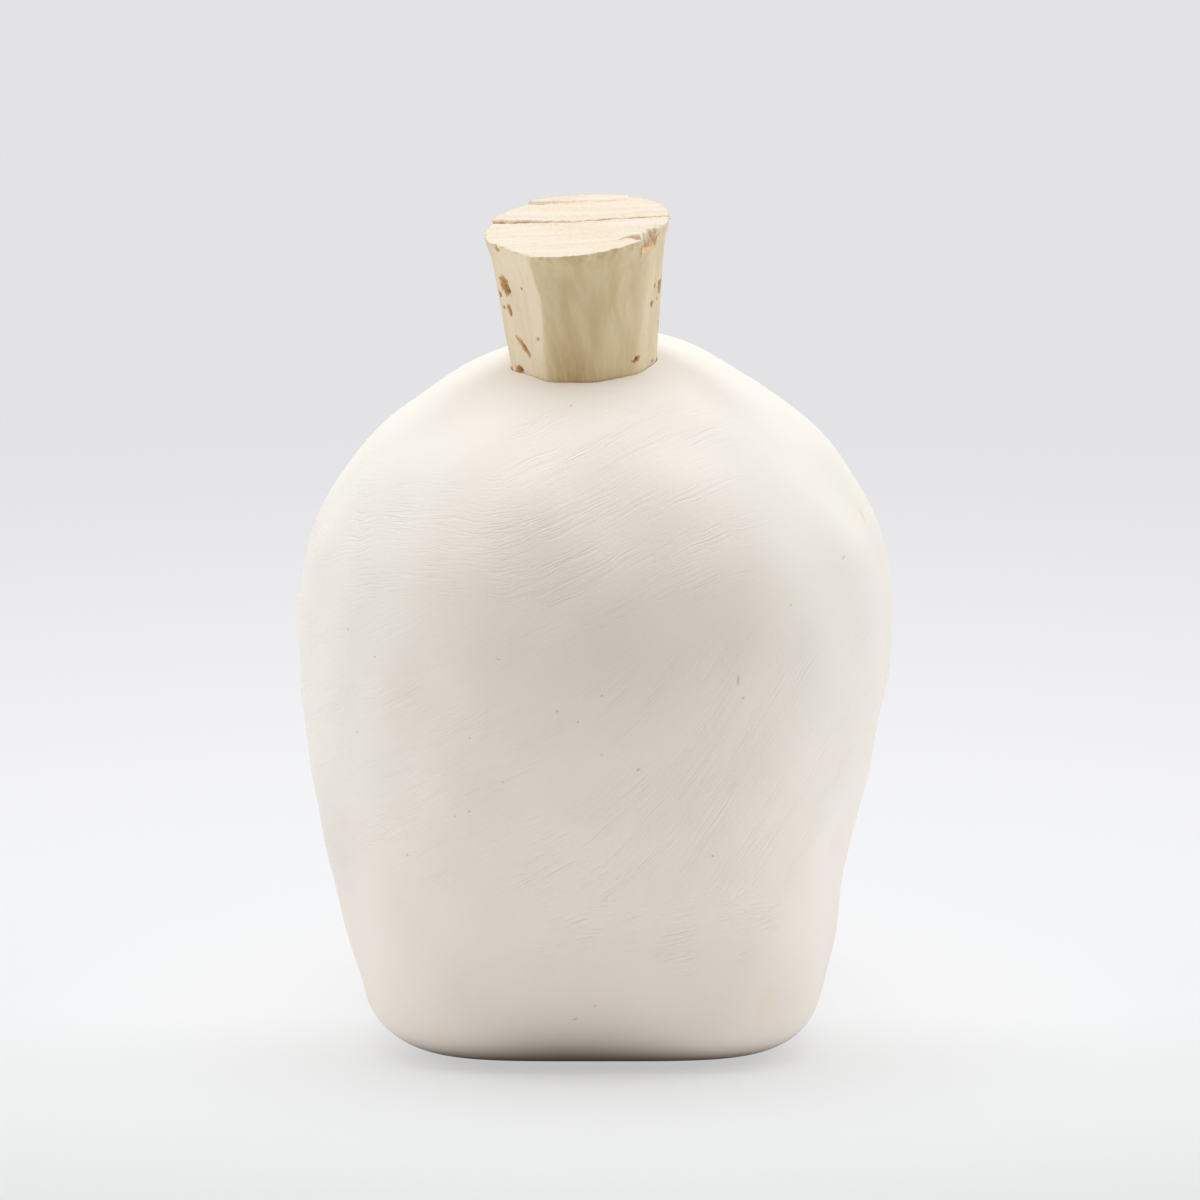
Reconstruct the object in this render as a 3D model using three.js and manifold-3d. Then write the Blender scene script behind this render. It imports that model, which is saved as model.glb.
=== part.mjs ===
// Skull bottle: a hand-built vessel of unglazed white clay, closed by a natural cork in its crown.
// Millimetres, +Z up. The origin lies on the flat foot, under the upright axis of the skull.
// The smooth back of the head is at -Y, and the face looks along +Y.
import * as THREE from "three";
import { mergeVertices } from "three/addons/utils/BufferGeometryUtils.js";
import Module from "manifold-3d";

const wasm = await Module();
wasm.setup();

// Skull, outside
const SKULL_HEIGHT = 86.1; // foot to crown, before the mouth is cut
const SKULL_WIDTH = 72.3;
const WIDEST_LEVEL = 52.2;
const BACK_REACH = 36; // from the axis to the back of the head
const FACE_REACH = 42; // from the axis to the brow
const FOOT_WIDTH = 54.1; // before its edge is rounded
const FOOT_BACK_REACH = 27;
const FOOT_FACE_REACH = 33;
const FOOT_ROUND = 6.5;

// Shell
const WALL = 5;
const FLOOR = 6;

// Level sections are superellipses, squarer towards the foot
const SECTION_POWER = 2.2;
const FOOT_SQUARENESS = 2;
const FLANK_POWER = 1.81; // how soon the flanks straighten below the widest level

// Above the widest level each side closes as (1 - rise^power)^fullness
const CROWN_SIDE = { power: 2.26, fullness: 0.679 };
const CROWN_BACK = { power: 2.3, fullness: 0.5 };
const CROWN_FACE = { power: 4, fullness: 0.5 };

// Soft swells and hollows of the modelled clay. Bearings are degrees round the axis from +X. Each rises
// outwards at its level, and fades over a spread in degrees and a reach in millimetres.
const FACE_BEARING = 90;
const SIDE_HOLLOW = { bearing: 0, level: 20.1, rise: -2.26, spread: 52, reach: 16.2 };
const SIDE_SWELL = { bearing: 180, level: 39.2, rise: 0.75, spread: 52, reach: 18 };
const BROW = { level: 56, rise: 1.5, spread: 40, reach: 5 };
const TEETH_ARCH = { level: 14, rise: 1.8, spread: 27, reach: 8 };
const CHEEKBONE = { aside: 43, level: 33, rise: 2.6, spread: 14, reach: 5.5 }; // one each side of the face
const JAW_HOLLOW = { aside: 43, level: 18, rise: -1.8, spread: 14, reach: 7 };
const TEMPLE = { aside: 62, level: 50, rise: -1.4, spread: 13, reach: 9 };

// Eye sockets
const SOCKET_WIDTH = 19;
const SOCKET_HEIGHT = 16.5;
const SOCKET_DEPTH = 6.5;
const SOCKET_SPACING = 30; // between their centres
const SOCKET_LEVEL = 44;
const SOCKET_YAW = 14; // degrees that each looks outwards
const SOCKET_DROOP = 12; // degrees that its outer corner hangs

// Nose opening: two hollows that lean together at the top
const NOSTRIL_WIDTH = 6;
const NOSTRIL_HEIGHT = 13.5;
const NOSTRIL_DEPTH = 4;
const NOSTRIL_SPACING = 5.2;
const NOSTRIL_LEAN = 15; // degrees
const NOSE_LEVEL = 29.5;

// Cork, a natural tapered no. 8, trimmed by knife to a steeper taper
const CORK_TOP_DIAMETER = 22.2;
const CORK_BOTTOM_DIAMETER = 16.4;
const CORK_LENGTH = 25.5;
const CORK_EXPOSED = 15.4; // how far it stands out of the mouth
const CORK_EDGE = 0.5; // chamfer of its lower edge
const SEAT_CLEARANCE = 0.3; // between cork and mouth

// Mouth: where its axis meets the crown, and how far the axis leans from upright
const MOUTH_ASIDE = -1.7; // along X
const MOUTH_BACK = 8.7; // towards the back of the head
const LEAN_ASIDE = -3; // degrees towards +X
const LEAN_BACK = 7; // degrees towards the back of the head

// Knife work on the cork
const TOP_SLANT_BACK = 4.5; // degrees that its top falls towards the back of the head
const TOP_SLANT_ASIDE = -3.3; // degrees that its top falls towards +X
// Flats shaved off its round side, at degrees round the cork from +X
const FLATS = [
  { bearing: 215, depth: 1 },
  { bearing: 259, depth: 0.42 },
  { bearing: 297, depth: 0.72 },
  { bearing: 337, depth: 0.6 },
];
const CRACK_WIDTH = 0.7;
const CRACK_DEPTH = 1.2;
// Cracks across its top, each turned from the X axis by degrees and set off from the cork's axis
const CRACKS = [
  { turn: -11.7, offset: 1.9 },
  { turn: -8.4, offset: 8.9 },
];
const NOTCH_BEARING = 324; // degrees round the cork from +X
const NOTCH_RADIUS = 1.5;

// Fineness of the facets
const FOOT_STEPS = 4;
const FLANK_STEPS = 12;
const CROWN_STEPS = 12;
const SKIN_SEGMENTS = 72;
const HOLLOW_SEGMENTS = 40;
const SOCKET_SEGMENTS = 22;
const CORK_SEGMENTS = 44;
const BORE_SEGMENTS = 48;
const NOTCH_SEGMENTS = 12;
const MERGE_DISTANCE = 1e-4;
const CROWN_TOLERANCE = 1e-6;

const CLAY_FINISH = new THREE.MeshStandardMaterial({ color: 0xe9e1d7, roughness: 0.92, metalness: 0 });
const CORK_FINISH = new THREE.MeshStandardMaterial({ color: 0xdcc59c, roughness: 0.85, metalness: 0 });

const radians = THREE.MathUtils.degToRad;

const RELIEFS = [
  SIDE_HOLLOW,
  SIDE_SWELL,
  { ...BROW, bearing: FACE_BEARING },
  { ...TEETH_ARCH, bearing: FACE_BEARING },
  ...[CHEEKBONE, JAW_HOLLOW, TEMPLE].flatMap((pair) => [
    { ...pair, bearing: FACE_BEARING - pair.aside },
    { ...pair, bearing: FACE_BEARING + pair.aside },
  ]),
];

const turnBetween = (a, b) => ((a - b + 540) % 360) - 180;

function reliefAt(bearing, level) {
  return RELIEFS.reduce((sum, swell) => {
    const across = turnBetween(bearing, swell.bearing) / swell.spread;
    const along = (level - swell.level) / swell.reach;
    return sum + swell.rise * Math.exp(-across * across - along * along);
  }, 0);
}

// Skin of the skull, or of its hollow when it is set in from the outside by the wall
function skin(inset, floor) {
  const top = SKULL_HEIGHT - inset;

  // One side's distance from the axis at a level, from its reach at the foot and at the widest level
  function reachAt(level, footReach, widestReach, crown) {
    if (level >= WIDEST_LEVEL) {
      const rise = (level - WIDEST_LEVEL) / (top - WIDEST_LEVEL);
      return (widestReach - inset) * (1 - rise ** crown.power) ** crown.fullness;
    }
    const drop = 1 - level / WIDEST_LEVEL;
    const below = Math.max(0, FOOT_ROUND - (level - floor));
    const rounding = FOOT_ROUND - Math.sqrt(Math.max(0, FOOT_ROUND ** 2 - below ** 2));
    return widestReach - inset - (widestReach - footReach) * drop ** FLANK_POWER - rounding;
  }

  function sectionAt(level) {
    const drop = Math.max(0, 1 - level / WIDEST_LEVEL);
    return {
      side: reachAt(level, FOOT_WIDTH / 2, SKULL_WIDTH / 2, CROWN_SIDE),
      back: reachAt(level, FOOT_BACK_REACH, BACK_REACH, CROWN_BACK),
      face: reachAt(level, FOOT_FACE_REACH, FACE_REACH, CROWN_FACE),
      power: SECTION_POWER + FOOT_SQUARENESS * drop ** 2,
    };
  }

  function pointAt(bearing, level) {
    const { side, back, face, power } = sectionAt(level);
    const across = Math.cos(radians(bearing));
    const along = Math.sin(radians(bearing));
    const squared = (value) => Math.sign(value) * Math.abs(value) ** (2 / power);
    const point = new THREE.Vector2(side * squared(across), (along < 0 ? back : face) * squared(along));
    return point.setLength(point.length() + reliefAt(bearing, level));
  }

  // Distance of the face from the axis, in front of a point at x and level
  function faceAt(x, level) {
    const { side, face, power } = sectionAt(level);
    return face * (1 - Math.abs(x / side) ** power) ** (1 / power);
  }

  // Height of the crown over a point of the plan
  function crownAt(x, y) {
    let low = WIDEST_LEVEL;
    let high = top;
    while (high - low > CROWN_TOLERANCE) {
      const middle = (low + high) / 2;
      const { side, back, face, power } = sectionAt(middle);
      const inside = Math.abs(x / side) ** power + Math.abs(y / (y < 0 ? back : face)) ** power < 1;
      if (inside) low = middle;
      else high = middle;
    }
    return low;
  }

  function levels() {
    const quarter = Math.PI / 2;
    const steps = (count, at) => Array.from({ length: count }, (_, step) => at(step / count));
    return [
      ...steps(FOOT_STEPS, (t) => floor + FOOT_ROUND * (1 - Math.cos(t * quarter))),
      ...steps(FLANK_STEPS, (t) => THREE.MathUtils.lerp(floor + FOOT_ROUND, WIDEST_LEVEL, t)),
      ...steps(CROWN_STEPS, (t) => THREE.MathUtils.lerp(WIDEST_LEVEL, top, Math.sin(t * quarter))),
    ];
  }

  // Closed loft through the level sections, from the floor to the crown
  function loft(segments) {
    const rings = levels();
    const positions = [];
    for (const level of rings) {
      for (let segment = 0; segment < segments; segment++) {
        const { x, y } = pointAt((360 * segment) / segments, level);
        positions.push(x, y, level);
      }
    }
    const floorCentre = positions.length / 3;
    positions.push(0, 0, floor, 0, 0, top);
    const topCentre = floorCentre + 1;
    const faces = [];
    const lastRing = (rings.length - 1) * segments;
    for (let segment = 0; segment < segments; segment++) {
      const next = (segment + 1) % segments;
      faces.push(floorCentre, next, segment, topCentre, lastRing + segment, lastRing + next);
      for (let ring = 0; ring < lastRing; ring += segments) {
        const above = ring + segments;
        faces.push(ring + segment, ring + next, above + next);
        faces.push(ring + segment, above + next, above + segment);
      }
    }
    const geometry = new THREE.BufferGeometry();
    geometry.setAttribute("position", new THREE.Float32BufferAttribute(positions, 3));
    geometry.setIndex(faces);
    return geometry;
  }

  return { loft, faceAt, crownAt };
}

// Solids to cut and join, and back to a geometry to show
function solid(geometry) {
  const bare = geometry.clone();
  bare.deleteAttribute("normal");
  bare.deleteAttribute("uv");
  const merged = mergeVertices(bare, MERGE_DISTANCE);
  return new wasm.Manifold(
    new wasm.Mesh({
      numProp: 3,
      vertProperties: merged.attributes.position.array,
      triVerts: new Uint32Array(merged.index.array),
    }),
  );
}

function geometryOf(manifold) {
  const { vertProperties, triVerts } = manifold.getMesh();
  const geometry = new THREE.BufferGeometry();
  geometry.setAttribute("position", new THREE.BufferAttribute(vertProperties, 3));
  geometry.setIndex(new THREE.BufferAttribute(triVerts, 1));
  geometry.computeVertexNormals();
  return geometry;
}

const joined = (solids) => solids.reduce((sum, next) => sum.add(next));

// A pressed hollow: an ellipsoid whose middle lies on the clay, turned and leant as the thumb was
function pressed({ x, level, width, height, depth, yaw, lean }, grow) {
  const ball = new THREE.SphereGeometry(1, SOCKET_SEGMENTS, SOCKET_SEGMENTS / 2);
  ball.rotateX(Math.PI / 2);
  ball.scale(width / 2 + grow, depth + grow, height / 2 + grow);
  ball.rotateY(radians(lean));
  ball.rotateZ(radians(yaw));
  ball.translate(x, skull.faceAt(x, level), level);
  return solid(ball);
}

const skull = skin(0, 0);
const hollow = skin(WALL, FLOOR);
const CORK_INSERTED = CORK_LENGTH - CORK_EXPOSED;
const BLANK_TOP = CORK_EXPOSED + CORK_TOP_DIAMETER; // of the cork before its top was cut
const KNIFE_SIZE = 4 * (CORK_LENGTH + CORK_TOP_DIAMETER); // a block wide enough to cut right across

// The mouth's own frame: its middle on the crown, +Z out along the cork
const mouth = new THREE.Group();
mouth.position.set(MOUTH_ASIDE, -MOUTH_BACK, skull.crownAt(MOUTH_ASIDE, -MOUTH_BACK));
mouth.rotation.set(radians(LEAN_BACK), radians(LEAN_ASIDE), 0);
mouth.updateMatrix();

function corkRadiusAt(height) {
  const share = (height + CORK_INSERTED) / CORK_LENGTH;
  return THREE.MathUtils.lerp(CORK_BOTTOM_DIAMETER, CORK_TOP_DIAMETER, share) / 2;
}

// Eye sockets and nose, pressed in before firing
const PRESSES = [-1, 1].flatMap((side) => [
  {
    x: (side * SOCKET_SPACING) / 2,
    level: SOCKET_LEVEL,
    width: SOCKET_WIDTH,
    height: SOCKET_HEIGHT,
    depth: SOCKET_DEPTH,
    yaw: -side * SOCKET_YAW,
    lean: side * SOCKET_DROOP,
  },
  {
    x: (side * NOSTRIL_SPACING) / 2,
    level: NOSE_LEVEL,
    width: NOSTRIL_WIDTH,
    height: NOSTRIL_HEIGHT,
    depth: NOSTRIL_DEPTH,
    yaw: 0,
    lean: -side * NOSTRIL_LEAN,
  },
]);

// Tapered way through the crown, pressed to the trimmed cork's section and wider than it by the clearance
function mouthCutter() {
  const below = CORK_INSERTED + WALL;
  const wider = (height) => corkRadiusAt(height) + SEAT_CLEARANCE;
  const profile = [
    new THREE.Vector2(0, -below),
    new THREE.Vector2(wider(-below), -below),
    new THREE.Vector2(wider(CORK_EXPOSED), CORK_EXPOSED),
    new THREE.Vector2(0, CORK_EXPOSED),
  ];
  const cone = solid(new THREE.LatheGeometry(profile, BORE_SEGMENTS).rotateX(Math.PI / 2));
  const seat = cone.subtract(joined(FLATS.map((flat) => shaving(flat, SEAT_CLEARANCE))));
  return solid(geometryOf(seat).applyMatrix4(mouth.matrix));
}

// One shell of fired clay: the skin less its hollow, with the wall carried round each pressed place
function skullShell() {
  const pressedIn = joined(PRESSES.map((press) => pressed(press, 0)));
  const pressedThrough = joined(PRESSES.map((press) => pressed(press, WALL)));
  const inside = solid(hollow.loft(HOLLOW_SEGMENTS)).subtract(pressedThrough);
  const outside = solid(skull.loft(SKIN_SEGMENTS)).subtract(pressedIn);
  const shell = outside.subtract(inside).subtract(mouthCutter());
  const mesh = new THREE.Mesh(geometryOf(shell), CLAY_FINISH);
  mesh.name = "skull_shell";
  return mesh;
}

// Cork in the mouth's frame: a turned taper, shaved flat in places, its top cut askew and split
function corkStopper() {
  const profile = [
    new THREE.Vector2(0, -CORK_INSERTED),
    new THREE.Vector2(corkRadiusAt(-CORK_INSERTED) - CORK_EDGE, -CORK_INSERTED),
    new THREE.Vector2(corkRadiusAt(-CORK_INSERTED + CORK_EDGE), -CORK_INSERTED + CORK_EDGE),
    new THREE.Vector2(corkRadiusAt(BLANK_TOP), BLANK_TOP),
    new THREE.Vector2(0, BLANK_TOP),
  ];
  const blank = solid(new THREE.LatheGeometry(profile, CORK_SEGMENTS).rotateX(Math.PI / 2));
  const trimmed = blank.subtract(joined([aboveTop(), ...FLATS.map((flat) => shaving(flat, 0))]));
  const split = trimmed.subtract(joined([...CRACKS.map(crack), rimNotch()]));
  const mesh = new THREE.Mesh(geometryOf(split), CORK_FINISH);
  mesh.name = "cork_stopper";
  return mesh;
}

// Set on the cut top and turned to its slant
function onTop(geometry) {
  geometry.rotateX(radians(TOP_SLANT_BACK)).rotateY(radians(TOP_SLANT_ASIDE));
  return geometry.translate(0, 0, CORK_EXPOSED);
}

// What the knife took off over the top
function aboveTop() {
  const block = new THREE.BoxGeometry(KNIFE_SIZE, KNIFE_SIZE, KNIFE_SIZE);
  return solid(onTop(block.translate(0, 0, KNIFE_SIZE / 2)));
}

// What the knife took off one side, set off from the cork by a clearance
function shaving({ bearing, depth }, clearance) {
  const slope = Math.atan2(CORK_TOP_DIAMETER - CORK_BOTTOM_DIAMETER, 2 * CORK_LENGTH);
  const block = new THREE.BoxGeometry(KNIFE_SIZE, KNIFE_SIZE, KNIFE_SIZE);
  block.translate(KNIFE_SIZE / 2, 0, 0).rotateY(slope);
  block.translate(corkRadiusAt(0) - depth + clearance, 0, 0).rotateZ(radians(bearing));
  return solid(block);
}

function crack({ turn, offset }) {
  const block = new THREE.BoxGeometry(KNIFE_SIZE, CRACK_WIDTH, 2 * CRACK_DEPTH);
  return solid(onTop(block.translate(0, offset, 0).rotateZ(radians(turn))));
}

function rimNotch() {
  const ball = new THREE.SphereGeometry(NOTCH_RADIUS, NOTCH_SEGMENTS, NOTCH_SEGMENTS / 2);
  ball.translate(CORK_TOP_DIAMETER / 2, 0, 0).rotateZ(radians(NOTCH_BEARING));
  return solid(onTop(ball));
}

const skullBottle = new THREE.Group();
skullBottle.name = "skull_bottle";
mouth.add(corkStopper());
skullBottle.add(skullShell(), mouth);

export default skullBottle;
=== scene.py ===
import math

import bpy
import numpy as np
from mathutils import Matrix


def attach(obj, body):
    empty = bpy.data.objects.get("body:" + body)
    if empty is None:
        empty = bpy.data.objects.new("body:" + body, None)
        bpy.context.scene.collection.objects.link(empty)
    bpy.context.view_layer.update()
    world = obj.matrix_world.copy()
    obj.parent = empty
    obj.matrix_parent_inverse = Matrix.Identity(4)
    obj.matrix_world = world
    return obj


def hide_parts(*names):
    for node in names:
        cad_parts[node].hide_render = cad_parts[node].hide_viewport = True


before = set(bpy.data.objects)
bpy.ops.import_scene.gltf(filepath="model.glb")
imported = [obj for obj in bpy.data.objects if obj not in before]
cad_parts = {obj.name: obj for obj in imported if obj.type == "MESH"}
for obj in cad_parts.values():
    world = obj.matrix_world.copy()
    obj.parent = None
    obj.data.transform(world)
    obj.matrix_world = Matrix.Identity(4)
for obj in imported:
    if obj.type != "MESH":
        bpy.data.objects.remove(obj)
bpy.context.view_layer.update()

MM = 0.001

# Skull, outside
SKULL_HEIGHT = 86.1
SKULL_WIDTH = 72.3
WIDEST_LEVEL = 52.2
BACK_REACH = 36
FACE_REACH = 42
FOOT_WIDTH = 54.1
FOOT_BACK_REACH = 27
FOOT_FACE_REACH = 33
FOOT_ROUND = 6.5

# Shell
WALL = 5
BASE = 6

# Level sections are superellipses, squarer towards the foot
SECTION_POWER = 2.2
FOOT_SQUARENESS = 2
FLANK_POWER = 1.81

# Above the widest level each side closes as (1 - rise^power)^fullness
CROWN_SIDE = (2.26, 0.679)
CROWN_BACK = (2.3, 0.5)
CROWN_FACE = (4, 0.5)

# Soft swells and hollows of the clay
FACE_BEARING = 90
SIDE_HOLLOW = dict(bearing=0, level=20.1, rise=-2.26, spread=52, reach=16.2)
SIDE_SWELL = dict(bearing=180, level=39.2, rise=0.75, spread=52, reach=18)
BROW = dict(level=56, rise=1.5, spread=40, reach=5)
TEETH_ARCH = dict(level=14, rise=1.8, spread=27, reach=8)
CHEEKBONE = dict(aside=43, level=33, rise=2.6, spread=14, reach=5.5)
JAW_HOLLOW = dict(aside=43, level=18, rise=-1.8, spread=14, reach=7)
TEMPLE = dict(aside=62, level=50, rise=-1.4, spread=13, reach=9)

# Eye sockets and nose, pressed into the clay
SOCKET = dict(aside=15, level=44, width=19, height=16.5, depth=6.5, yaw=14, lean=12, flare=2.6)
NOSTRIL = dict(aside=2.6, level=29.5, width=6, height=13.5, depth=4, yaw=0, lean=-15, flare=2.2)
PRESS_RIM = 0.35
PRESS_RIM_PLACE = 1.12
PRESS_RIM_WIDTH = 0.13
PRESS_SOFTNESS = 0.12

# Teeth, incised as lines that fade at their ends
BITE_LEVEL = 13.5
BITE_CURVE = 0.012
BITE_END = (13, 15)
BITE_DEPTH = 0.7
TOOTH_WIDTH = 3.9
TOOTH_GROOVES = 8
TOOTH_LOW = (8, 10.5)
TOOTH_HIGH = (16.5, 19)
TOOTH_DEPTH = 0.75
# Painted shade in the incised lines
TOOTH_LINE_SHADE = 0.2
LINE_HALF_WIDTH = 0.42

# Hand-made unevenness of the clay, which starts above the foot and clear of the mouth
LUMPS = dict(height=0.16, lengths=(9, 26), waves=28, seed=5)
LUMP_FROM_FOOT = (0.5, 8)
LUMP_FROM_MOUTH = (9, 16)

# Painted shade and painted light on the clay: soft patches paler or darker than its mean, where it should
# look
# more or less lit: bearing, level, rise, spread and reach
PAINTED_SHADING_PATCHES = (
    (273, 55, -0.09, 21, 9),
    (297, 55, -0.05, 8, 6),
    (313, 53, -0.04, 8, 7),
    (303, 66, -0.04, 9, 6),
    (270, 26, 0.045, 60, 12),
    (262, 77, 0.05, 22, 6),
    (262, 84, 0.055, 40, 4),
    (216, 79, -0.06, 12, 6),
    (320, 80, -0.09, 12, 6),
    (217, 67, -0.035, 10, 6),
    (308, 19, 0.05, 7, 4),
    (197, 69, -0.05, 16, 9),
    (343, 69, -0.05, 17, 9),
    (196, 23, -0.06, 11, 8),
    (211, 26, -0.1, 9, 7),
)
PAINTED_SHADING = [dict(zip(("bearing", "level", "rise", "spread", "reach"), patch)) for patch in PAINTED_SHADING_PATCHES]
PAINTED_SHADING_RANGE = (0.88, 1.06)

# Painted shade round the foot, darkest at the floor and reaching higher at the back
FOOT_SHADE_HEIGHT = 1.55
FOOT_SHADE_BACK = dict(bearing=264, spread=26, height=3.2)
FOOT_SHADE_FADE = 1.5
FOOT_SHADE_UNDERNEATH = 6

# Brush strokes of the slip, in fields that pass into each other: how steeply they rise to the right at each x
# as seen from the back, the x and the levels between which they fade in and out, their length and strength.
# They also dip a little towards the face. Their slopes add up over a grid of x.
STROKE_FIELDS = (
    dict(
        name="left",
        rise=((-36, 25), (-31, 18), (-27, 4), (-22, -3), (-15, -6), (-12, 0), (-9, 14), (-5, 22)),
        aside=((-70, -60), (-13, -4)),
        levels=((57, 62), (70, 77)),
        length=5,
        strength=0.85,
    ),
    dict(
        name="right",
        rise=((-16, 20), (-6, 26), (4, 32), (12, 25), (20, 10), (36, 5)),
        aside=((-16, -7), (11, 24)),
        levels=((55, 61), (79, 86)),
        length=8,
        strength=1.0,
    ),
    dict(
        name="middle",
        rise=((-36, 30), (-25, 26), (-5, 28), (5, 46), (15, 58), (25, 55), (36, 50)),
        aside=((-70, -60), (60, 70)),
        levels=((20, 28), (53, 62)),
        length=8,
        strength=0.8,
    ),
    dict(
        name="low",
        rise=((-36, 12), (0, 15), (10, 20), (36, 20)),
        aside=((-14, -4), (18, 26)),
        levels=((13, 17), (22, 26)),
        length=3,
        strength=1.2,
    ),
)
STROKE_DIP = 0.19
STROKE_GRID = (-40, 40, 801)
STROKE_PITCH = 0.45
STROKE_DEPTH = 0.27
GRAIN_DEPTH = 0.025
STROKE_LEAST = 0.35
STROKE_PATCH = (3, 8)
STROKE_WOBBLE = 0.13
WOBBLE_LENGTHS = (4, 9)
STROKE_WAVES = 24
STROKE_WANDER = 1.5
STROKE_SEED = 3

# Pinholes and scratches of the back, painted darker as their shade with no hollow in the mesh: x, level,
# half length, half width and angle above level
MARKS = (
    (17.1, 47.4, 0.26, 0.22, 0),
    (0.5, 48.4, 0.22, 0.19, 0),
    (-2.3, 45.2, 0.19, 0.19, 0),
    (-4.7, 46.5, 0.26, 0.22, 0),
    (0.5, 41.2, 0.19, 0.15, 0),
    (4.8, 39.3, 0.35, 0.25, 30),
    (13.6, 28.3, 0.22, 0.19, 0),
    (-11.1, 37.6, 0.22, 0.19, 0),
    (-15.1, 33.8, 0.22, 0.22, 0),
    (-16.8, 33.1, 0.19, 0.15, 0),
    (-22.6, 27.6, 0.22, 0.19, 0),
    (-28.7, 41.4, 0.19, 0.19, 0),
    (-29.7, 53.7, 0.22, 0.19, 0),
    (-26.4, 51.1, 0.19, 0.15, 0),
    (-15, 42.8, 0.19, 0.15, 0),
    (16.5, 49.6, 0.9, 0.22, 90),
    (-11.6, 52.5, 0.45, 0.12, -20),
    (-2.7, 7.5, 0.45, 0.16, 25),
    (29.3, 62, 0.35, 0.16, 40),
)
MARK_SHADE_SHARE = 0.42

# Rust-coloured spots and streaks of the back: as the marks, and how strong
SPOTS = (
    (22.8, 57.8, 0.22, 0.18, 0, 0.5),
    (-0.3, 9.2, 0.25, 0.2, 0, 0.5),
    (-3.1, 80.3, 0.2, 0.16, 0, 0.6),
    (32.0, 65.3, 1.5, 0.13, -65, 0.28),
    (20.4, 8.4, 3.6, 1.8, 75, 0.09),
    (-18.9, 5.0, 2.2, 1.8, 0, 0.06),
)
MARK_EDGE = (0, 0.6)
MARK_REACH = 6

# Pinholes of the other sides, painted darker as their shade in a few cells of a random pattern, sized as
# shares of its pitch
PIT_PITCH = 5.2
PIT_RARENESS = (0.62, 0.66)
PIT_SIZE = (0.03, 0.06)
PIT_START = (-10 * MM, 2 * MM)

# Mouth and cork
CORK_TOP_DIAMETER = 22.2
CORK_BOTTOM_DIAMETER = 16.4
CORK_LENGTH = 25.5
CORK_EXPOSED = 15.4
CORK_FOOT = CORK_EXPOSED - CORK_LENGTH
CORK_EDGE = 0.5
SEAT_GAP = 0.05
MOUTH_LIP = 0.16
MOUTH_PLAN = (-1.7, -8.7)
LEAN_ASIDE = -3
LEAN_BACK = 7
TOP_SLANT_BACK = 4.5
TOP_SLANT_ASIDE = -3.3

# Below its rim the cork is slimmer, and knife flats run down its back. The first is cut to a depth that
# changes with height and meets the next in a sharp edge. The others are shallower at the rim than below it,
# and they run softly into each other and into the round.
CORK_WAIST = 0.4
WAIST_REACH = 3.2
FLAT_REACH = 6
FIRST_FLAT = dict(
    bearing=215,
    depths=((-10, 1), (0, 0.82), (3, 0.95), (6.6, 1.15), (8.6, 1.18), (11.4, 0.92)),
)
CORK_FLATS = (
    dict(bearing=259, depth=0.24, rim=0.05, sway=0.08),
    dict(bearing=297, depth=0.2, rim=0.05, sway=0.08),
    dict(bearing=337, depth=0.26, rim=0.2, sway=0.08),
)
FLAT_SWAY_LENGTH = 9
FLAT_SWAY_SHIFT = 1.7
FLAT_SWAY_START = (-1, 3)
FLAT_FACING = 0.2
FLAT_SOFTNESS = (0.05, 0.28)
EDGE_SOFTNESS = ((0, 0.3), (3, 0.2), (7, 0.02))

# How pale the knife left the first flat, and the rest of the side at each bearing
FIRST_FLAT_PALENESS = 0.42
SIDE_PALENESS = ((0, 0.25), (180, 0.3), (240, 0), (290, 0), (310, 0.06), (337, 0.3), (360, 0.25))
EDGE_BLEND = 0.06

# Darker colour of the side, low down at the back near the mouth
CORK_LOW_DARKENING = dict(bearing=262, spread=24, low=-2.5, high=5, strength=0.75)

# Cracks along paths across the cork's top: half width, depth, the step up behind at each x, the stretch in x
# that the crack takes up, and the stretches where the open crack is painted dark as its shade
TOP_CRACKS = (
    dict(
        path=(
            (-10.6, 4.6), (-7.8, 3.7), (-5.4, 3.1), (-2.5, 2.2),
            (-0.1, 1.6), (1.8, 1.6), (4, 1.2), (11.5, 0),
        ),
        width=0.12,
        depth=0.4,
        step=((-10, 0.42), (0, 0.04), (11, 0.04)),
        span=(-20, 20),
        shaded=((-12, -8.6), (-7.6, -5.4), (0.9, 3.8), (6.2, 10.8)),
    ),
    dict(
        path=((-6.6, 9.6), (-4, 9.1), (-0.1, 9.2), (4.3, 7.9), (6.2, 7.95)),
        width=0.1,
        depth=0.15,
        step=((-6.5, 0.42), (0, 0.1), (6.2, 0.08)),
        span=(-20, 6.2),
        shaded=(),
    ),
    dict(
        path=((9.3, -2.7), (11.5, -4.4)),
        width=0.1,
        depth=0.2,
        step=((0, 0), (12, 0)),
        span=(9.3, 20),
        shaded=((9.3, 12),),
    ),
)
CRACK_STEP = (-0.05, 0.08)
CRACK_BROWN = 0.16
# Painted shade in the open stretches of the cracks
CRACK_GAP_SHADE = 0.42
SPAN_SOFTNESS = 0.2
SHADED_SOFTNESS = 0.3

# Wobble of the cracks, and the share, pace along x and shift of its waves
CRACK_WOBBLE = 0.07
CRACK_WAVES = ((1, 1.9, 0), (0.7, 4.3, 1), (0.4, 9.1, 2))

# Chip out of the rim, with the stretches over which its walls slope, steep on its left and inner sides and
# gentle on its right, and the split that runs into it between two lines across the top
CHIP = dict(bearing=325.5, left=(-2.15, -1.85), right=(1.1, 2.2), inner=(1.2, 1.7), depth=1.7)
CHIP_SPLIT = dict(
    far=((4.7, -6.85), (6.1, -5.75), (8.2, -5.6), (9.4, -5.2)),
    near=((4.7, -6.95), (5.9, -6.35), (7.1, -6.75), (8.1, -8), (9.4, -8)),
    depth=0.6,
    softness=0.1,
)
CHIP_BROWN = 0.2

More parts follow.
